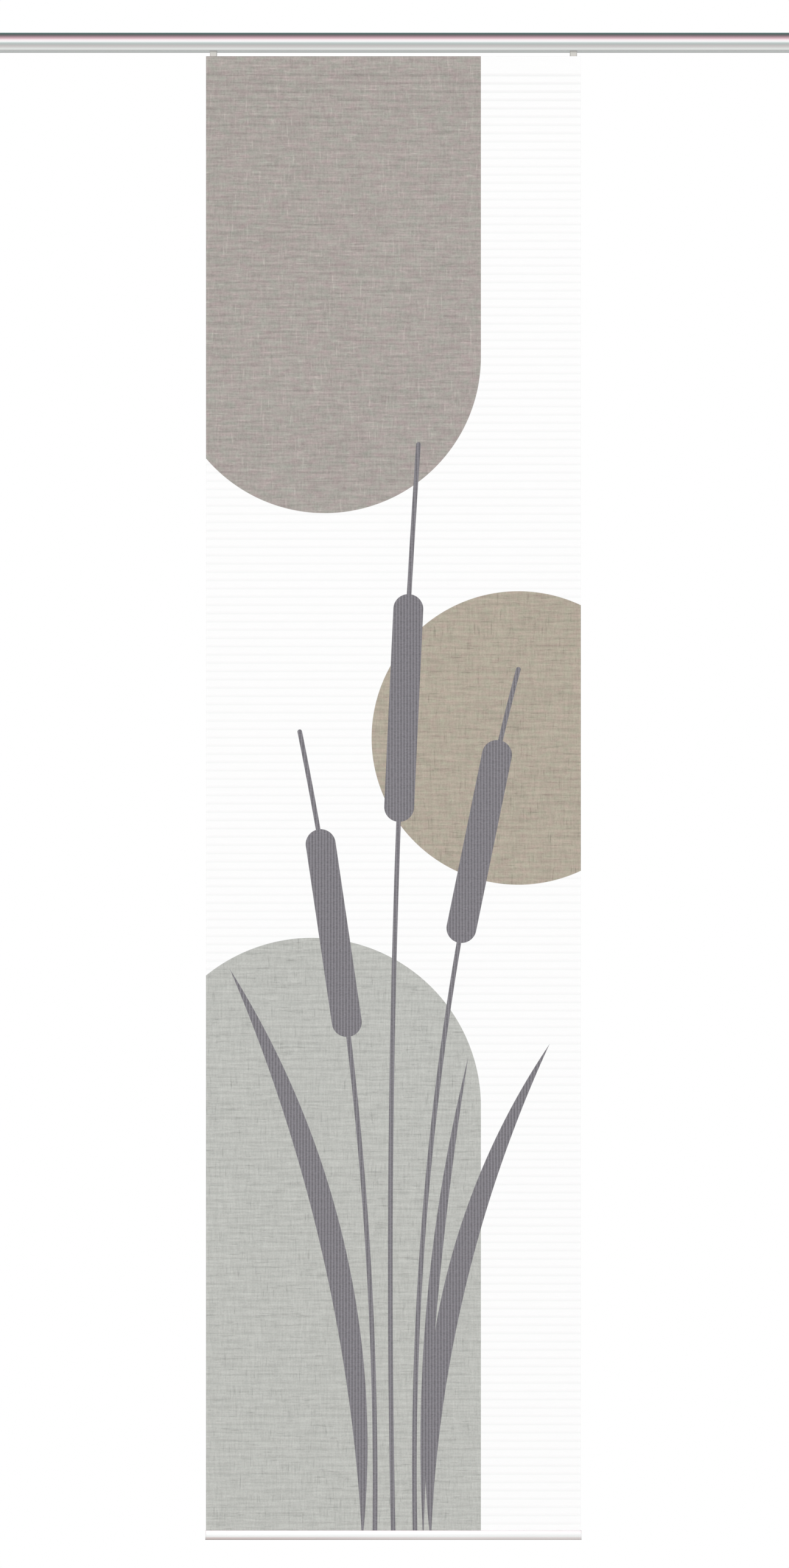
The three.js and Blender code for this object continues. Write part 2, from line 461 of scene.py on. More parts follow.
def linen(paint, tone, seed, slub, threads, upright, mottle):
    """Printed linen: crossed threads, slubs that are lighter or darker, and a warm and cool mottle."""
    weft = paint.weave(28, 330, seed)
    grain = paint.weave(360, 360, seed + 1.7, detail=1.0)
    warp = paint.weave(380, 45, seed + 3.1)
    long_slub = paint.smooth(paint.weave(38, 420, seed + 8.3, detail=1.0), 0.10, 0.26)
    tall_slub = paint.smooth(paint.weave(430, 36, seed + 11.9, detail=1.0), 0.12, 0.28)
    woven = (weft * 0.56 + grain * 0.36 + warp * 0.28 * upright) * threads
    light = 1.0 + woven + (long_slub + tall_slub * 0.8 * upright - 0.1) * slub
    warmth = paint.weave(70, 130, seed + 14.6) * mottle
    return paint.tinted(tone, light * (1.0 + warmth), light * (1.0 - warmth), light)


def rib_share(paint, cloth, first_rib):
    """1 along the middle of each rib, up to 1.9 on the upper ribs, and 0 between the ribs."""
    off = abs(paint.math("PINGPONG", paint.z - first_rib, cloth.rib_pitch / 2))
    near = 1.0 - paint.smooth(off, 0.3 * cloth.rib_width, 0.75 * cloth.rib_width)
    heading_foot = first_rib + cloth.rib_pitch / 2
    upper_ribs = 9
    firmer = 1.0 + paint.smooth(paint.z, first_rib - upper_ribs * cloth.rib_pitch, first_rib) * 0.9
    return near * inside(paint, paint.z - heading_foot, soft=0.5 * MM) * firmer


def cloth_material(colours, cloth):
    """White ribbed cloth with its print, which shows faintly on the back, and sealed side edges."""
    paint = Paint("printed_cloth")
    box_high = high("cloth_panel")
    ribs = rib_share(paint, cloth, box_high.z - cloth.heading)
    front = inside(paint, paint.y - middle("cloth_panel").y, soft=0.2 * MM)
    strength = colours.show_through + front * (1.0 - colours.show_through)

    mottle = paint.weave(30, 160, 2.4)
    thread = paint.weave(900, 900, 4.9, detail=1.0)
    colour = paint.shade(colours.ground, 1.0 + mottle * 0.02 + thread * 0.02 - ribs * 0.03)
    zones = (
        (arch(paint, **HANGING_ARCH), colours.taupe, TAUPE_LINEN),
        (disc(paint, **DISC), colours.beige, BEIGE_LINEN),
        (arch(paint, **STANDING_ARCH), colours.sage, SAGE_LINEN),
    )
    stems = rushes(paint)
    inked = stems
    for shape, tone, weave in zones:
        ink = paint.shade(linen(paint, tone, **weave), 1.0 - ribs * 0.05)
        zone = inside(paint, shape)
        colour = paint.mix(zone * strength, colour, ink)
        inked = inked | zone

    lines = paint.math("COSINE", paint.x * (2 * pi / colours.reed_rib))
    dots = paint.weave(1 / colours.reed_rib, 420, 61.0, detail=1.0)
    fleck = paint.weave(500, 500, 77.0)
    reed = paint.shade(colours.reed, 1.0 + lines * 0.21 + dots * 0.5 + fleck * 0.3 - ribs * 0.03)
    colour = paint.mix(stems * strength, colour, reed)

    outer = (abs(paint.x) - (box_high.x - cloth.selvedge)) | (paint.z - (box_high.z - cloth.selvedge))
    sealed = paint.smooth(outer, -0.3 * MM, 0.3 * MM)
    rolled = paint.smooth(outer, -1.6 * MM, -1.0 * MM) - sealed
    printed = inked * 0.85 + 0.15
    colour = paint.shade(colour, 1.0 + (rolled * 0.05 - sealed * 0.15) * printed)

    threads = paint.weave(300, 1900, 13.0, detail=1.0) + paint.weave(1900, 300, 17.0, detail=1.0)
    return paint.finish(Base_Color=colour, Roughness=0.86 + thread * 0.1,
                        Normal=paint.bump(threads * 0.5, depth=0.12 * MM),
                        Sheen_Weight=0.15, Sheen_Roughness=0.6, Specular_IOR_Level=0.2)


def drawn_metal(paint, colour, roughness, fineness, line_depth, metallic=1.0):
    """Metal drawn along X, with faint long lines in its gloss and its surface."""
    lines = paint.noise(paint.x * 3, paint.y * fineness, paint.z * fineness, detail=3.0) - 0.5
    haze = paint.noise(paint.x * 9, paint.y * 60, paint.z * 60) - 0.5
    return paint.finish(Base_Color=paint.shade(colour, 1.0 + lines * 0.05 + haze * 0.04), Metallic=metallic,
                        Roughness=roughness + lines * roughness * 0.4 + haze * 0.05,
                        Normal=paint.bump(lines, line_depth))


def rail_metal(rail):
    """Polished metal, rougher in the slots, where the gliders run, and darker there as painted shade."""
    paint = Paint("rail_metal")
    beside = abs(abs(paint.y) - rail.slot_offset) - rail.slot_width / 2
    over = paint.z - (low("rail_tube").z + rail.floor_height)
    slots = inside(paint, beside | over, soft=0.1 * MM)
    # The slots' darker colour is painted shade in the recess; their greater roughness is the metal's own
    return drawn_metal(paint, paint.mix(slots, rail.colour, rail.slot_shade_colour), roughness=0.13 + slots * 0.2,
                       fineness=700, line_depth=0.004 * MM)


# Bands of the weight bar, from where its finish starts to change to where it has changed: the painted shade
# on the lower part and the painted dark line along the foot by their height over the bar's foot, and the pale
# lip by its height over the bar's top
SHADE_BAND = (6.4 * MM, 2.4 * MM)
FOOT_SHADE_BAND = (2.0 * MM, 1.2 * MM)
LIP_BAND = (-3.0 * MM, -0.5 * MM)


def painted_bar_shade(paint):
    """Painted shade on the weight bar below its middle, and a painted dark line along its foot: both most at
    the left.
    """
    corner, far_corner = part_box("weight_bar")
    height = paint.z - corner.z
    most = 1.0 - paint.smooth(paint.x, corner.x, far_corner.x / 3) * 0.35
    return paint.smooth(height, *SHADE_BAND) * most, paint.smooth(height, *FOOT_SHADE_BAND) * most


def bar_metal(bar):
    """Satin metal: pale at the lip, with painted shade below the middle and a painted dark line along the
    foot.
    """
    paint = Paint("bar_metal")
    lower_shade, foot_shade = painted_bar_shade(paint)
    lip = paint.smooth(paint.z - high("weight_bar").z, *LIP_BAND)
    # Painted shade: the lower part is mixed towards the shaded colour and the foot is darkened
    shaded_tone = paint.shade(paint.mix(lower_shade, bar.colour, bar.shaded_colour), 1.0 - foot_shade * 0.3)
    return drawn_metal(paint, shaded_tone, roughness=0.27, fineness=250, line_depth=0.001 * MM,
                       metallic=0.35 - lip * 0.25)


def moulded_plastic(paint, colour, roughness, painted_shade=0.0):
    """Plastic from a mould: a fine grain, a faint cloud in its colour, and darker by any painted shade it is
    given.
    """
    grain = paint.grain(2400)
    cloud = paint.grain(140)
    # painted_shade darkens the colour to stand in for shade; the end caps take none
    return paint.finish(Base_Color=paint.shade(colour, 1.0 + cloud * 0.06 + grain * 0.03 - painted_shade),
                        Roughness=roughness + grain * 0.12, Normal=paint.bump(grain, depth=0.03 * MM))


def plug_plastic(colour):
    """Pale plastic with the same painted shade as the bar beside it."""
    paint = Paint("plug_plastic")
    lower_shade, foot_shade = painted_bar_shade(paint)
    # The bar's painted shade and painted dark foot line, carried onto the plug
    return moulded_plastic(paint, colour, roughness=0.42, painted_shade=lower_shade * 0.3 + foot_shade * 0.2)


def glider_plastic(colour):
    """Pale plastic with painted shade on its side edges, most on the inner ones, and a painted shadow of the
    rail where it enters the slot.
    """
    paint = Paint("glider_plastic")
    outer = paint.smooth(abs(paint.x) - high("glider_right").x, -1.4 * MM, -0.5 * MM)
    inner = paint.smooth(low("glider_right").x - abs(paint.x), -1.6 * MM, -0.5 * MM)
    slot_shadow = paint.smooth(paint.z - low("rail_tube").z, -1.8 * MM, 2.6 * MM)
    # Painted shade: the side edges and the top in the slot are darkened in the colour to stand in for shade
    # and the rail's shadow
    painted_shade = (outer * 0.22 + inner * 0.4) | (slot_shadow * 0.35)
    return moulded_plastic(paint, colour, roughness=0.38, painted_shade=painted_shade)


def loop_tape(colour):
    """Tape with a dense face of short loops."""
    paint = Paint("tape")
    tufts = paint.node("ShaderNodeTexVoronoi", {"Vector": paint.place, "Scale": 1500.0, "Randomness": 0.9},
                       {"feature": "F1"}, out="Distance")
    fibre = paint.grain(1300, detail=3.0)
    return paint.finish(Base_Color=paint.shade(colour, 1.0 - tufts * 0.25 + fibre * 0.1), Roughness=0.95,
                        Normal=paint.bump(1.0 - tufts + fibre * 0.5, depth=0.25 * MM), Sheen_Weight=0.2)


def floor_material(colour):
    """A matt floor with a faint cloud."""
    paint = Paint("floor")
    return paint.finish(Base_Color=paint.shade(colour, 1.0 + paint.grain(2) * 0.02), Roughness=0.7)


# Modelling helpers

def take(name):
    """The new primitive, named and with its place in its mesh."""
    piece = bpy.context.active_object
    piece.name = piece.data.name = name
    bpy.ops.object.transform_apply(location=True, rotation=True, scale=True)
    return piece


def add_block(name, low_corner, high_corner):
    bpy.ops.object.select_all(action="DESELECT")
    edges = [b - a for a, b in zip(low_corner, high_corner)]
    centre = [(a + b) / 2 for a, b in zip(low_corner, high_corner)]
    bpy.ops.mesh.primitive_cube_add(size=1.0, location=centre, scale=edges)
    return take(name)


def add_rod(name, radius, start, end, y, z, sides):
    """A cylinder along X, between start and end in either order."""
    bpy.ops.object.select_all(action="DESELECT")
    bpy.ops.mesh.primitive_cylinder_add(vertices=sides, radius=radius, depth=abs(end - start),
                                        location=((start + end) / 2, y, z), rotation=(0.0, pi / 2, 0.0))
    return take(name)


def only(piece):
    bpy.ops.object.select_all(action="DESELECT")
    piece.select_set(True)
    bpy.context.view_layer.objects.active = piece


class Edit:
    """Edit mode on one piece, with elements selected in code."""

    def __init__(self, piece, mode="VERT"):
        self.piece, self.mode = piece, mode

    def __enter__(self):
        only(self.piece)
        bpy.ops.object.mode_set(mode="EDIT")
        bpy.ops.mesh.select_mode(type=self.mode)
        bpy.ops.mesh.select_all(action="DESELECT")
        return self

    def __exit__(self, *problem):
        bpy.ops.object.mode_set(mode="OBJECT")

    def select(self, test):
        """Selects the vertices, edges or faces whose middle passes the test."""
        bpy.ops.mesh.select_all(action="DESELECT")
        bm = bmesh.from_edit_mesh(self.piece.data)
        if self.mode == "VERT":
            for vert in bm.verts:
                vert.select = test(vert.co)
        else:
            for item in (bm.faces if self.mode == "FACE" else bm.edges):
                item.select_set(test(sum((v.co for v in item.verts), Vector()) / len(item.verts)))
        bm.select_flush_mode()
        bmesh.update_edit_mesh(self.piece.data)

    def select_all(self):
        bpy.ops.mesh.select_all(action="SELECT")

    def cut(self, point, normal, **clear):
        self.select_all()
        bpy.ops.mesh.bisect(plane_co=point, plane_no=normal, **clear)

    def extrude(self, x=0.0, y=0.0, z=0.0):
        bpy.ops.mesh.extrude_region_move(TRANSFORM_OT_translate={"value": (x, y, z)})


def slice_off(piece, point, normal):
    """Takes away what lies beyond the plane, and closes the cut."""
    with Edit(piece) as edit:
        edit.cut(point, normal, use_fill=True, clear_outer=True)


def apply(piece, kind, **settings):
    only(piece)
    modifier = piece.modifiers.new(kind.title(), kind)
    for name, value in settings.items():
        setattr(modifier, name, value)
    bpy.ops.object.modifier_apply(modifier=modifier.name)


def combine(piece, other, operation):
    apply(piece, "BOOLEAN", object=other, operation=operation, solver="EXACT")
    bpy.data.objects.remove(other, do_unlink=True)


def cut_along(piece, node, across, up):
    """Cuts a block out of a piece, all along its node; across and up are the block's limits in Y and Z."""
    start, end = low(node).x - OVER, high(node).x + OVER
    block = add_block("cutter", (start, across[0], up[0]), (end, across[1], up[1]))
    combine(piece, block, "DIFFERENCE")


def round_edges(piece, width, segments=2, angle=30.0):
    apply(piece, "BEVEL", width=width, segments=segments, limit_method="ANGLE", angle_limit=radians(angle),
          harden_normals=False)


def unmirrored(piece):
    """Keeps a piece out of the rail's mirror, where the photograph shows none of the panel."""
    piece.visible_glossy = False
    return piece


def settle(piece, node, material, smooth_angle=35.0):
    """Smooths the piece, gives it its finish, and lets it stand for its node."""
    only(piece)
    bpy.ops.object.shade_smooth_by_angle(angle=radians(smooth_angle))
    with Edit(piece) as edit:
        edit.select_all()
        bpy.ops.mesh.remove_doubles(threshold=DOUBLES)
        bpy.ops.mesh.dissolve_degenerate(threshold=DOUBLES)
    piece.data.materials.clear()
    piece.data.materials.append(material)
    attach(piece, BODY)
    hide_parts(node)


def plugs(kind, thickness):
    """The plug at either end: its node, and where its tip, its pegs' root and its two faces lie along X."""
    for side, hand in (("left", -1), ("right", 1)):
        node = f"{kind}_{side}"
        tip, outer = sorted((low(node).x, high(node).x), key=lambda x: x * hand)
        inner = outer - hand * thickness
        yield node, tip, (inner + outer) / 2, inner, outer


def rail_radius():
    return size("rail_tube").z / 2


def channel_core(start, end, hand, clearance, rail):
    """What fills one channel of the rail, a little smaller by clearance."""
    centre, radius = middle("rail_tube"), rail_radius()
    core = add_rod("core", radius - rail.wall - clearance, start, end, centre.y, centre.z, rail.sides)
    slice_off(core, (0.0, hand * (rail.web / 2 + clearance), 0.0), (0.0, -hand, 0.0))
    slice_off(core, (0.0, 0.0, low("rail_tube").z + rail.floor_height + clearance), (0.0, 0.0, -1.0))
    return core


class Undoable:
    bl_options = {"REGISTER", "UNDO"}


class CURTAIN_OT_add_rail(Undoable, bpy.types.Operator):
    """Add the round rail with its two channels and slots"""
    bl_idname = "curtain.add_rail"
    bl_label = "Add Rail"

    def execute(self, context):
        rail = context.scene.curtain_rail
        (start, _, foot), (end, _, _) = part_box("rail_tube")
        centre = middle("rail_tube")
        tube = add_rod("rail", rail_radius(), start, end, centre.y, centre.z, rail.sides)
        for hand in (-1, 1):
            combine(tube, channel_core(start - OVER, end + OVER, hand, 0.0, rail), "DIFFERENCE")
            cut_along(tube, "rail_tube", around(hand * rail.slot_offset, rail.slot_width),
                      (foot - OVER, foot + rail.floor_height + OVER))
        round_edges(tube, rail.edge)
        settle(tube, "rail_tube", rail_metal(rail))
        return {"FINISHED"}


class CURTAIN_OT_add_end_caps(Undoable, bpy.types.Operator):
    """Add the plugs that close the rail's ends"""
    bl_idname = "curtain.add_end_caps"
    bl_label = "Add End Caps"

    def execute(self, context):
        rail, fit = context.scene.curtain_rail, context.scene.curtain_fittings
        finish = moulded_plastic(Paint("cap_plastic"), fit.cap_colour, roughness=0.3)
        centre = middle("rail_tube")
        for node, tip, root, inner, outer in plugs("end_cap", fit.cap_thickness):
            cap = add_rod(node.replace("end_cap", "cap"), rail_radius(), inner, outer, centre.y, centre.z,
                          rail.sides)
            round_edges(cap, fit.cap_edge, segments=4)
            with Edit(cap, "FACE") as edit:
                edit.select(lambda at: abs(at.x - outer) < NEAR)
                bpy.ops.mesh.inset(thickness=fit.cap_rim)
                bpy.ops.mesh.inset(thickness=fit.cap_slope, depth=-fit.cap_recess)
            for side in (-1, 1):
                peg = channel_core(tip, root, side, fit.clearance, rail)
                for up in (1, -1):
                    slice_off(peg, (0.0, 0.0, centre.z + up * fit.peg_height / 2), (0.0, 0.0, up))
                combine(cap, peg, "UNION")
            settle(cap, node, finish)
        return {"FINISHED"}


class CURTAIN_OT_add_gliders(Undoable, bpy.types.Operator):
    """Add the two gliders, each a head, a stem and a foot in one"""
    bl_idname = "curtain.add_gliders"
    bl_label = "Add Gliders"

    def execute(self, context):
        fit = context.scene.curtain_fittings
        box_low, box_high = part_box("glider_left")
        y = middle("glider_left").y
        front, back = around(y, fit.stem)
        first = add_block("glider_1", (box_low.x, front, box_low.z), (box_high.x, back, box_high.z))
        head = (box_high.z - fit.head_height, 1, size("glider_left").y)
        foot = (box_low.z + fit.foot_height, -1, fit.foot_width)
        for level, up, width in (head, foot):
            with Edit(first, "FACE") as edit:
                edit.cut((0.0, 0.0, level), (0.0, 0.0, 1.0))
                for start, end in zip((front, back), around(y, width)):
                    edit.select(lambda at: (at.z - level) * up > 0 and abs(at.y - start) < NEAR)
                    edit.extrude(y=end - start)
        round_edges(first, fit.glider_edge, segments=3)
        only(first)
        bpy.ops.object.duplicate()
        second = bpy.context.active_object
        second.name = second.data.name = "glider_2"
        bpy.ops.transform.translate(value=(middle("glider_right").x - middle("glider_left").x, 0.0, 0.0))
        bpy.ops.object.transform_apply(location=True, rotation=True, scale=True)
        finish = glider_plastic(fit.glider_colour)
        settle(unmirrored(first), "glider_left", finish)
        settle(unmirrored(second), "glider_right", finish)
        return {"FINISHED"}


class CURTAIN_OT_add_carriage(Undoable, bpy.types.Operator):
    """Add the grooved strip behind the cloth's top edge"""
    bl_idname = "curtain.add_carriage"
    bl_label = "Add Carriage"

    def execute(self, context):
        fit = context.scene.curtain_fittings
        box_low, box_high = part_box("carriage")
        run = middle("glider_left").y
        groove_top = box_high.z - fit.strip_wall
        groove_foot = groove_top - fit.groove_height
        strip = add_block("strip", box_low, box_high)
        behind = (box_low.y + fit.strip_plate, box_high.y + OVER)
        cut_along(strip, "carriage", behind, (box_low.z - OVER, groove_foot - fit.strip_wall))
        cut_along(strip, "carriage", around(run, fit.groove_width), (groove_foot, groove_top))
        cut_along(strip, "carriage", around(run, fit.neck_width), (groove_top - OVER, box_high.z + OVER))
        round_edges(strip, fit.strip_edge)
        finish = drawn_metal(Paint("strip_metal"), fit.strip_colour, roughness=0.34, fineness=500,
                             line_depth=0.01 * MM)
        settle(unmirrored(strip), "carriage", finish)
        return {"FINISHED"}


class CURTAIN_OT_add_heading_tape(Undoable, bpy.types.Operator):
    """Add the tape that joins the cloth to the carriage"""
    bl_idname = "curtain.add_heading_tape"
    bl_label = "Add Heading Tape"

    def execute(self, context):
        fit = context.scene.curtain_fittings
        tape = add_block("heading_strip", *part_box("heading_tape"))
        with Edit(tape, "FACE") as edit:
            for side in (-1, 1):
                edit.select(lambda at: (at.y - middle("heading_tape").y) * side > NEAR)
                bpy.ops.mesh.inset(thickness=fit.tape_edge)
                bpy.ops.mesh.inset(thickness=fit.tape_step, depth=-fit.tape_dip)
        round_edges(tape, fit.tape_round, angle=60.0)
        settle(unmirrored(tape), "heading_tape", loop_tape(fit.tape_colour))
        return {"FINISHED"}


# The cloth's map for a bake, as shares of its width and height: the front and the back lie in two columns
# each, for the lower and the upper half, the side edges in narrow strips, and the end edges along the foot
FRONT_COLUMNS = ((0.402, 0.794), (0.004, 0.396))
BACK_COLUMNS = ((0.888, 0.970), (0.800, 0.882))
SIDE_STRIPS = ((0.989, 0.996), (0.976, 0.983))
END_STRIPS = ((0.010, 0.014), (0.002, 0.006))
COLUMN_ENDS = (0.02, 0.996)


def spread(value, limits, onto=(0.0, 1.0)):
    """A value between two limits, moved to its place between two others."""
    share = (value - limits[0]) / (limits[1] - limits[0])
    return onto[0] + share * (onto[1] - onto[0])


def lay_out(panel, split):
    """Gives the cloth a map that leaves most of the room to its front; split is the height that halves it."""
    wide, deep, tall = zip(*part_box("cloth_panel"))
    layer = panel.data.uv_layers.new(name="OFBake")
    for face in panel.data.polygons:
        normal = face.normal
        upper = face.center.z > split
        half = (split, tall[1]) if upper else (tall[0], split)
        columns = FRONT_COLUMNS if normal.y < 0 else BACK_COLUMNS
        for loop in face.loop_indices:
            x, y, z = panel.data.vertices[panel.data.loops[loop].vertex_index].co
            if abs(normal.y) > 0.5:
                place = (spread(x, wide, columns[upper]), spread(z, half, COLUMN_ENDS))
            elif abs(normal.x) > 0.5:
                place = (spread(y, deep, SIDE_STRIPS[normal.x < 0]), spread(z, tall, COLUMN_ENDS))
            else:
                place = (spread(x, wide), spread(y, deep, END_STRIPS[upper]))
            layer.data[loop].uv = place


class CURTAIN_OT_add_cloth(Undoable, bpy.types.Operator):
    """Add the printed cloth with its cross ribs"""
    bl_idname = "curtain.add_cloth"
    bl_label = "Add Cloth"

    def execute(self, context):
        cloth = context.scene.curtain_cloth
        box_low, box_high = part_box("cloth_panel")
        y = middle("cloth_panel").y
        half = cloth.thickness / 2
        half_pitch = cloth.rib_pitch / 2
        first = box_high.z - cloth.heading
        panel = add_block("cloth", (box_low.x, y - half, first - half_pitch),
                          (box_high.x, y + half, first + half_pitch))
        with Edit(panel, "FACE") as edit:
            edit.select(lambda at: abs(at.z - first) > half_pitch - NEAR)
            bpy.ops.mesh.delete(type="ONLY_FACE")
            for column in range(1, cloth.columns):
                x = box_low.x + size("cloth_panel").x * column / cloth.columns
                edit.cut((x, 0.0, 0.0), (1.0, 0.0, 0.0))
        rows = [cloth.rib_width * (row / cloth.rows - 0.5) for row in range(cloth.rows + 1)]
        with Edit(panel) as edit:
            for off in rows:
                edit.cut((0.0, 0.0, first + off), (0.0, 0.0, 1.0))
            for off in rows[1:-1]:
                rise = cloth.rib_rise * (0.5 + 0.5 * cos(2 * pi * off / cloth.rib_width))
                edit.select(lambda at: abs(at.z - first - off) < NEAR)
                bpy.ops.transform.resize(value=(1.0, (half + rise) / half, 1.0),
                                         center_override=(0.0, y, first))
        apply(panel, "ARRAY", count=cloth.ribs, use_relative_offset=False, use_constant_offset=True,
              constant_offset_displace=(0.0, 0.0, -cloth.rib_pitch), use_merge_vertices=True,
              merge_threshold=NEAR)
        top = first + half_pitch
        bottom = first - (cloth.ribs - 0.5) * cloth.rib_pitch
        with Edit(panel, "EDGE") as edit:
            for level, goal in ((top, box_high.z), (bottom, box_low.z)):
                edit.select(lambda at: abs(at.z - level) < NEAR)
                edit.extrude(z=goal - level)
                bpy.ops.mesh.edge_face_add()
            edit.select_all()
            bpy.ops.mesh.normals_make_consistent(inside=False)
        lay_out(panel, first - (cloth.ribs // 2 - 0.5) * cloth.rib_pitch)
        finish = cloth_material(context.scene.curtain_print, cloth)
        settle(unmirrored(panel), "cloth_panel", finish, smooth_angle=50.0)
        return {"FINISHED"}


def grip_width():
    """Width of the slot that holds the cloth's plain foot, with its clearance."""
    scene = bpy.context.scene
    return size("cloth_panel").y + 2 * (scene.curtain_fittings.clearance - scene.curtain_cloth.rib_rise)


def bar_blank(name, start, end, bar):
    """A length of the weight bar's outer section: bowed in front, flat behind."""
    centre, half_height = middle("weight_bar"), size("weight_bar").z / 2
    back = high("weight_bar").y
    lip = centre.y - grip_width() / 2 - bar.mouth
    bow = lip - low("weight_bar").y
    blank = add_rod(name, half_height, start, end, lip, centre.z, bar.sides)
    with Edit(blank) as edit:
        edit.select_all()
        bpy.ops.transform.resize(value=(1.0, bow / half_height, 1.0), center_override=(0.0, lip, centre.z))
    slice_off(blank, (0.0, lip, 0.0), (0.0, 1.0, 0.0))
    with Edit(blank, "FACE") as edit:
        edit.select(lambda at: abs(at.y - lip) < NEAR)
        edit.extrude(y=back - lip)
    with Edit(blank, "EDGE") as edit:
        edit.select(lambda at: abs(at.y - back) < NEAR and abs(abs(at.z - centre.z) - half_height) < NEAR)
        bpy.ops.mesh.bevel(offset=bar.back_edge, segments=4)
    return blank


def bar_rod(name, radius, start, end, bar):
    """A rod where a plug's pin and its hole lie."""
    z = low("weight_bar").z + bar.chamber_rise
    return add_rod(name, radius, start, end, middle("weight_bar").y, z, bar.pin_sides)


class CURTAIN_OT_add_weight_bar(Undoable, bpy.types.Operator):
    """Add the bar that holds the cloth's bottom edge"""
    bl_idname = "curtain.add_weight_bar"
    bl_label = "Add Weight Bar"

    def execute(self, context):
        bar = context.scene.curtain_bar
        (start, _, _), (end, _, top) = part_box("weight_bar")
        blank = bar_blank("bar", start, end, bar)
        cut_along(blank, "weight_bar", around(middle("weight_bar").y, grip_width()),
                  (top - bar.grip_depth, top + OVER))
        chamber = bar_rod("chamber", bar.chamber_radius, start - OVER, end + OVER, bar)
        combine(blank, chamber, "DIFFERENCE")
        round_edges(blank, bar.edge, angle=40.0)
        settle(blank, "weight_bar", bar_metal(bar))
        return {"FINISHED"}


class CURTAIN_OT_add_bar_plugs(Undoable, bpy.types.Operator):
    """Add the thin plugs in the weight bar's ends"""
    bl_idname = "curtain.add_bar_plugs"
    bl_label = "Add Bar Plugs"

    def execute(self, context):
        bar = context.scene.curtain_bar
        finish = plug_plastic(bar.plug_colour)
        for node, tip, root, inner, outer in plugs("bar_plug", bar.plug_thickness):
            flange = bar_blank(node.replace("bar_plug", "plug"), inner, outer, bar)
            combine(flange, bar_rod("pin", bar.pin_radius, tip, root, bar), "UNION")
            round_edges(flange, bar.edge, angle=40.0)
            settle(flange, node, finish)
        return {"FINISHED"}


# Tones of the studio by the angle in degrees over the horizon in front, and on over the top to the back
STUDIO = [
    (-180, (0.6, 0.6, 0.6)), (-125, (0.4, 0.4, 0.4)), (-102, (0.6, 0.6, 0.59)), (-76, (0.9, 0.93, 0.9)),
    (-58, (0.76, 0.755, 0.735)), (-35, (0.63, 0.6, 0.59)), (-12, (0.53, 0.59, 0.57)), (0, (0.7, 0.79, 0.77)),
    (10, (1.03, 1.05, 1.04)), (22, (1.12, 1.1, 1.1)), (34, (1.12, 0.95, 0.99)), (48, (0.85, 0.61, 0.665)),
    (64, (0.56, 0.375, 0.42)), (82, (0.31, 0.23, 0.25)), (100, (0.155, 0.15, 0.155)),
    (125, (0.11, 0.165, 0.155)), (150, (0.16, 0.27, 0.26)), (180, (0.52, 0.58, 0.57)),
]


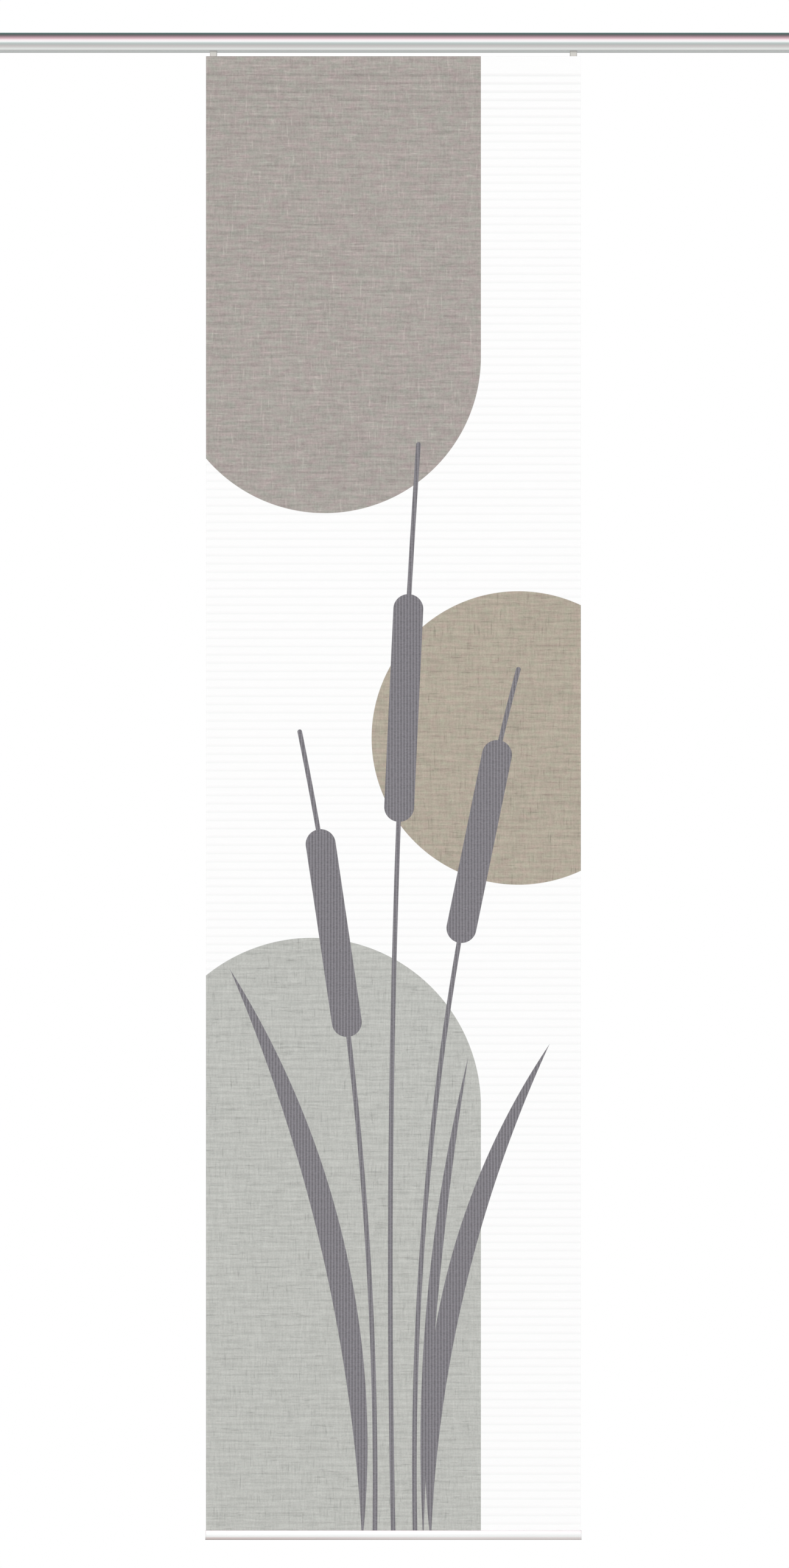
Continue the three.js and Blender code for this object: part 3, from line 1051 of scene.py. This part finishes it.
class CURTAIN_OT_add_stage(Undoable, bpy.types.Operator):
    """Add the pale floor, the soft light and the camera"""
    bl_idname = "curtain.add_stage"
    bl_label = "Add Stage"

    def execute(self, context):
        stage = context.scene.curtain_stage
        foot = low("weight_bar").z - stage.floor_drop
        bpy.ops.object.select_all(action="DESELECT")
        bpy.ops.mesh.primitive_circle_add(vertices=96, radius=stage.floor_radius, fill_type="NGON",
                                          location=(0.0, 0.0, foot))
        floor = take("floor")
        floor.data.materials.append(floor_material(stage.floor_colour))
        floor.visible_glossy = floor.visible_diffuse = False
        self.add_camera(context, stage)
        self.add_studio(context)
        self.add_lamp(context, stage, "front_light", 0.0, stage.front_power, stage.front_colour)
        self.add_lamp(context, stage, "back_light", pi, stage.back_power, stage.back_colour)
        return {"FINISHED"}

    def add_camera(self, context, stage):
        tall = PHOTO_HEIGHT / stage.pixels_per_metre
        height = high("rail_tube").z - (PHOTO_HEIGHT / 2 - stage.rail_top_row) / stage.pixels_per_metre
        data = bpy.data.cameras.new("camera")
        data.lens = stage.lens
        data.sensor_fit = "VERTICAL"
        data.sensor_height = data.sensor_width = CAMERA_SENSOR
        away = tall * stage.lens / CAMERA_SENSOR
        data.clip_start, data.clip_end = away / 10, away * 4
        camera = bpy.data.objects.new("camera", data)
        camera.location = (stage.view_right, middle("cloth_panel").y - away, height)
        camera.rotation_euler = (pi / 2, 0.0, 0.0)
        context.scene.collection.objects.link(camera)
        context.scene.camera = camera

    def add_lamp(self, context, stage, name, turn, power, colour):
        """A broad light, turned about the piece, that lifts the cloth and isn't mirrored by the metal."""
        data = bpy.data.lights.new(name, "SUN")
        data.energy, data.color = power, colour
        data.angle = stage.lamp_spread
        lamp = bpy.data.objects.new(name, data)
        lamp.rotation_euler = (pi / 2 - stage.lamp_height, 0.0, turn - stage.lamp_side)
        lamp.visible_glossy = False
        context.scene.collection.objects.link(lamp)

    def add_studio(self, context):
        """A white surround for the camera, and a soft studio for what the piece itself sees."""
        scene = context.scene
        scene.view_settings.view_transform = "Standard"
        scene.world = bpy.data.worlds.new("studio")
        nodes = Nodes(scene.world)
        seen = nodes.node("ShaderNodeLightPath", out="Is Camera Ray")
        way = nodes.node("ShaderNodeTexCoord", out="Generated")
        _, y, z = nodes.node("ShaderNodeSeparateXYZ", {"Vector": way}, out="XYZ")
        # The angle in the plane across the rail: 0 in front, a quarter turn overhead
        angle = nodes.math("ARCTAN2", z, -y)
        turn = nodes.node("ShaderNodeMapRange", {"Value": angle, "From Min": -pi, "From Max": pi})
        stops = [(degrees / 360 + 0.5, colour) for degrees, colour in STUDIO]
        tones = nodes.node("ShaderNodeValToRGB", {"Fac": turn}, {"stops": stops})
        light = nodes.node("ShaderNodeBackground", {"Color": nodes.mix(seen, tones, WHITE), "Strength": 1.0})
        nodes.node("ShaderNodeOutputWorld", {"Surface": light}, out=None)


class VIEW3D_PT_curtain(bpy.types.Panel):
    """The curtain's sizes, colours and pieces"""
    bl_label = "Sliding Panel Curtain"
    bl_space_type = "VIEW_3D"
    bl_region_type = "UI"
    bl_category = "Curtain"

    def draw(self, context):
        for name, group in GROUPS.items():
            box = self.layout.box()
            for prop in group.__annotations__:
                box.prop(getattr(context.scene, name), prop, text=prop.replace("_", " ").capitalize())
        for operator in OPERATORS:
            self.layout.operator(operator.bl_idname)


OPERATORS = (
    CURTAIN_OT_add_stage,
    CURTAIN_OT_add_rail,
    CURTAIN_OT_add_end_caps,
    CURTAIN_OT_add_gliders,
    CURTAIN_OT_add_carriage,
    CURTAIN_OT_add_heading_tape,
    CURTAIN_OT_add_cloth,
    CURTAIN_OT_add_weight_bar,
    CURTAIN_OT_add_bar_plugs,
)
CLASSES = (*GROUPS.values(), *OPERATORS, VIEW3D_PT_curtain)


def register():
    for cls in CLASSES:
        bpy.utils.register_class(cls)
    for name, group in GROUPS.items():
        setattr(bpy.types.Scene, name, bpy.props.PointerProperty(type=group))


def unregister():
    for name in GROUPS:
        delattr(bpy.types.Scene, name)
    for cls in reversed(CLASSES):
        bpy.utils.unregister_class(cls)


def main():
    register()
    for operator in OPERATORS:
        getattr(bpy.ops.curtain, operator.bl_idname.split(".")[1])()


if __name__ == "__main__":
    main()
